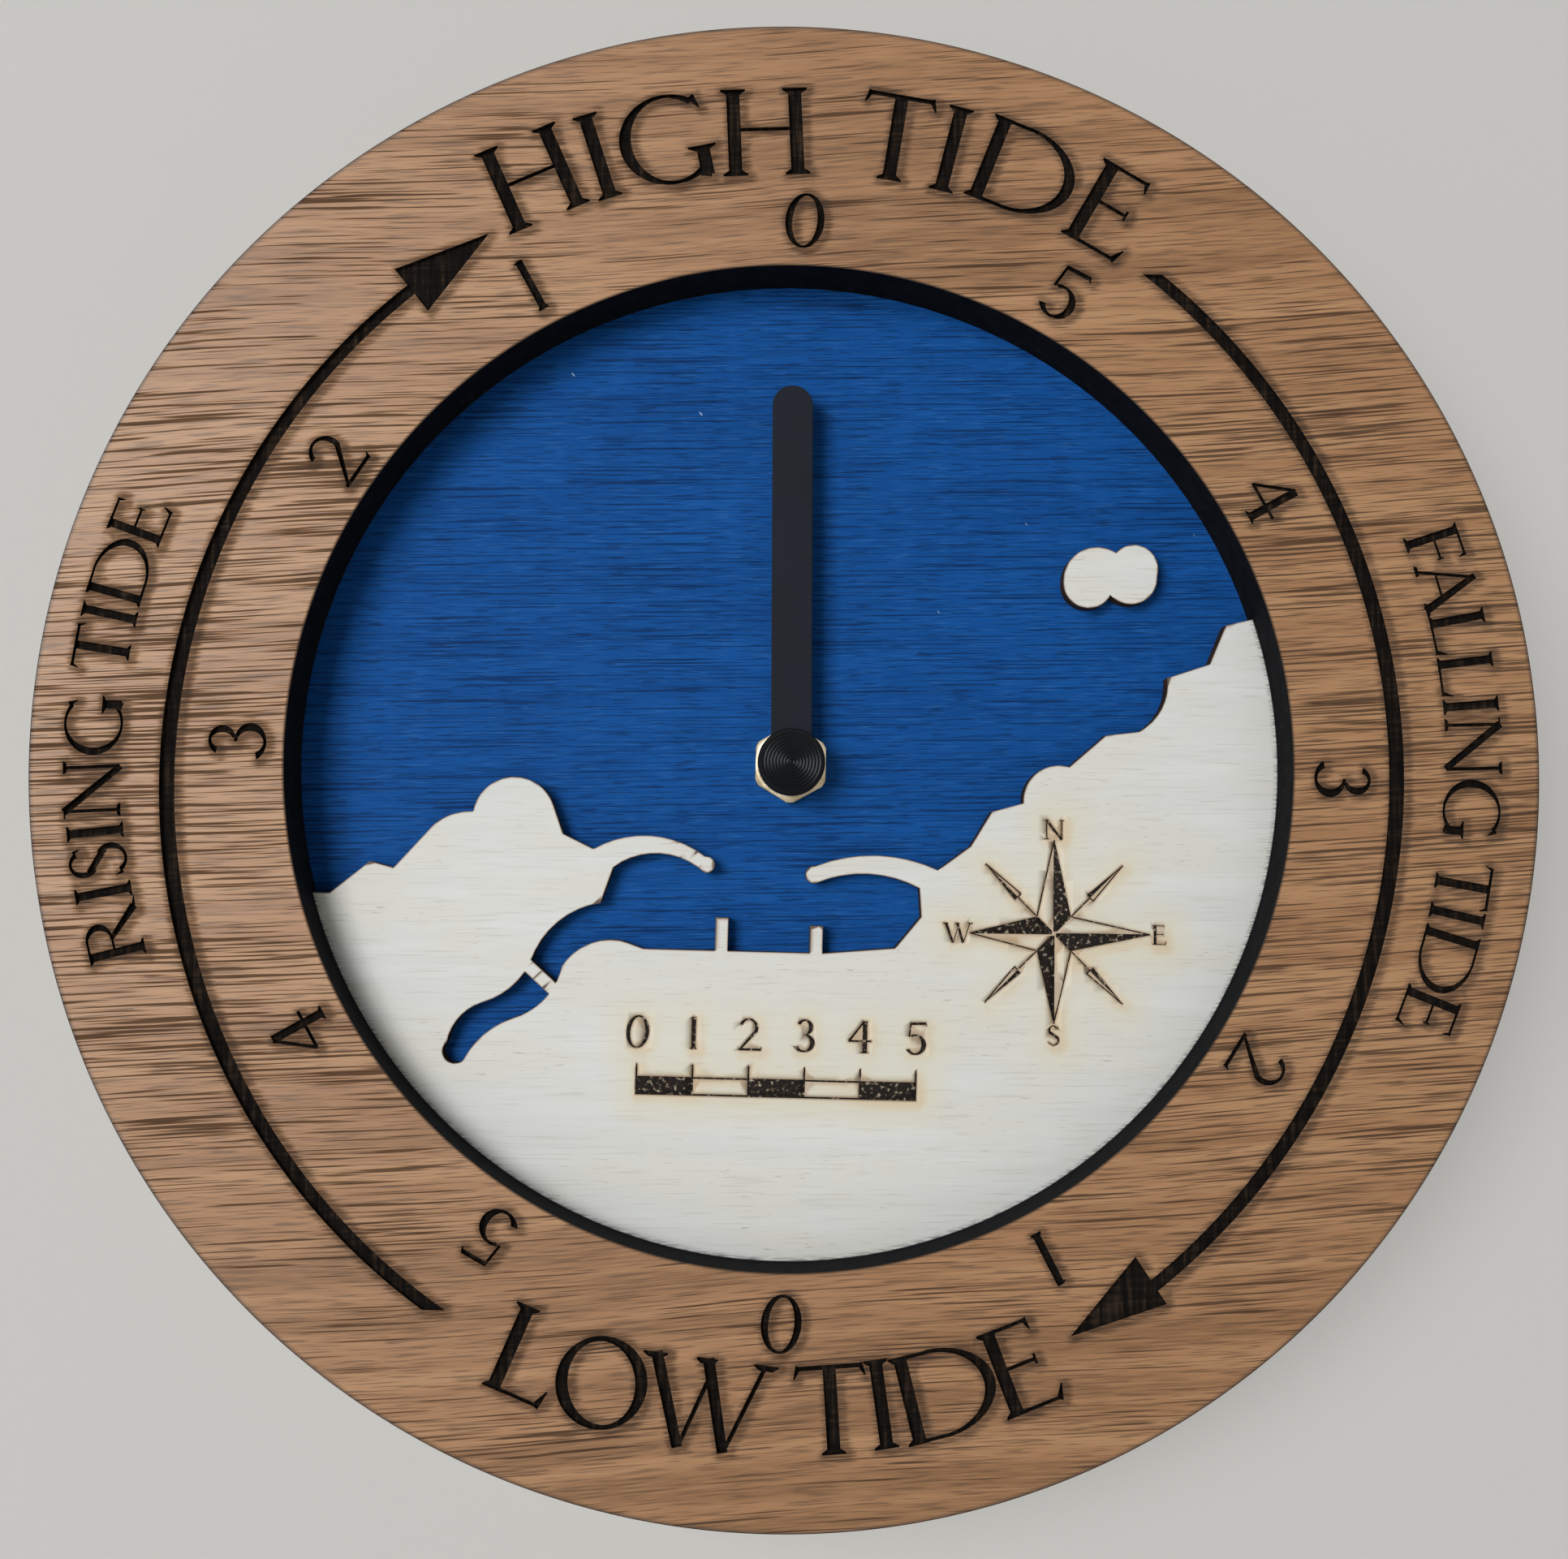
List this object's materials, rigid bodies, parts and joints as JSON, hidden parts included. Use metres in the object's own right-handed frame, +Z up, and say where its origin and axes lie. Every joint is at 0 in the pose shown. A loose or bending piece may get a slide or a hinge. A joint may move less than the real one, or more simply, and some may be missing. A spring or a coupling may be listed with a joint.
{
  "type": "tide clock",
  "caption": "Round wooden wall tide clock: an engraved dial ring over a layered harbour scene, a single hand, and a battery movement with a hanging loop behind.",
  "frame": {"origin": "on the hand's axis, at the rear face of the movement, which is the wall's plane", "axes": "+Z up the dial, +X to the right seen from the front, dial faces -Y, wall on the +Y side"},
  "size_m": [0.25, 0.0306, 0.25],
  "materials": {
    "stained_veneer": "matte, laser engraved",
    "black_ply": "matte paint",
    "pale_ply": "matte",
    "blue_ply": "matte stain",
    "rubber": "matte",
    "brass": "satin",
    "black_metal": "matte black",
    "white_plastic": "satin",
    "black_plastic": "fine texture",
    "magnet": "sintered",
    "steel": "satin",
    "copper_wire": "enamelled",
    "circuit_green": "satin",
    "black_resin": "glossy",
    "battery_sleeve": "printed sleeve",
    "contact_steel": "plated"
  },
  "bodies": {
    "clock": {"dial_ring": "stained_veneer", "spacer_ring": "black_ply", "land_layer": "pale_ply", "islet": "pale_ply", "sea_board": "blue_ply", "rubber_washer": "rubber", "threaded_bush": "brass", "mounting_nut": "brass", "stator": "steel", "coil_core": "steel", "coil_bobbin": "black_plastic", "coil_winding": "copper_wire", "circuit_board": "circuit_green", "chip": "black_resin", "quartz_crystal": "steel", "positive_contact": "contact_steel", "negative_contact": "contact_steel", "train_plate": "white_plastic", "front_case": "black_plastic", "rear_cover": "black_plastic"},
    "hand": {"tide_hand": "black_metal", "hand_collar": "brass", "hand_cap": "black_metal", "tide_wheel": "white_plastic"},
    "motion_pinion": {"minute_pinion": "white_plastic"},
    "setting_wheel": {"minute_wheel": "white_plastic", "set_knob": "black_plastic"},
    "seconds": {"seconds_wheel": "white_plastic"},
    "rotor": {"rotor_pinion": "white_plastic", "rotor_magnet": "magnet"},
    "fifth": {"fifth_wheel": "white_plastic"},
    "third": {"third_wheel": "white_plastic"},
    "centre": {"centre_wheel": "white_plastic"},
    "cell": {"battery": "battery_sleeve"}
  },
  "joints": [
    {"name": "tide_hand_turn", "type": "hinge", "parent": "clock", "child": "hand", "pos_m": [0, 0, 0], "axis": [0, 1, 0], "continuous": true},
    {"name": "minute_pinion_turn", "type": "hinge", "parent": "clock", "child": "motion_pinion", "pos_m": [0, 0, 0], "axis": [0, 1, 0], "continuous": true},
    {"name": "set_knob_turn", "type": "hinge", "parent": "clock", "child": "setting_wheel", "pos_m": [0.01154, 0, 0.0042], "axis": [0, 1, 0], "continuous": true},
    {"name": "seconds_wheel_turn", "type": "hinge", "parent": "clock", "child": "seconds", "pos_m": [0, 0, 0], "axis": [0, 1, 0], "continuous": true},
    {"name": "rotor_turn", "type": "hinge", "parent": "clock", "child": "rotor", "pos_m": [-0.00943, 0, 0.01393], "axis": [0, 1, 0], "continuous": true},
    {"name": "fifth_wheel_turn", "type": "hinge", "parent": "clock", "child": "fifth", "pos_m": [-0.00167, 0, 0.00945], "axis": [0, 1, 0], "continuous": true},
    {"name": "third_wheel_turn", "type": "hinge", "parent": "clock", "child": "third", "pos_m": [-0.00953, 0, 0.0055], "axis": [0, 1, 0], "continuous": true},
    {"name": "centre_wheel_turn", "type": "hinge", "parent": "clock", "child": "centre", "pos_m": [0, 0, 0], "axis": [0, 1, 0], "continuous": true},
    {"name": "battery_lift", "type": "slide", "parent": "clock", "child": "cell", "axis": [0, 1, 0], "range_m": [0, 0.018]}
  ],
  "couplings": [
    {"joint": "set_knob_turn", "follows": "tide_hand_turn", "ratio": -3},
    {"joint": "minute_pinion_turn", "follows": "tide_hand_turn", "ratio": 12},
    {"joint": "fifth_wheel_turn", "follows": "seconds_wheel_turn", "ratio": -5},
    {"joint": "rotor_turn", "follows": "seconds_wheel_turn", "ratio": 30},
    {"joint": "third_wheel_turn", "follows": "seconds_wheel_turn", "ratio": -0.13333},
    {"joint": "centre_wheel_turn", "follows": "seconds_wheel_turn", "ratio": 0.016667}
  ]
}
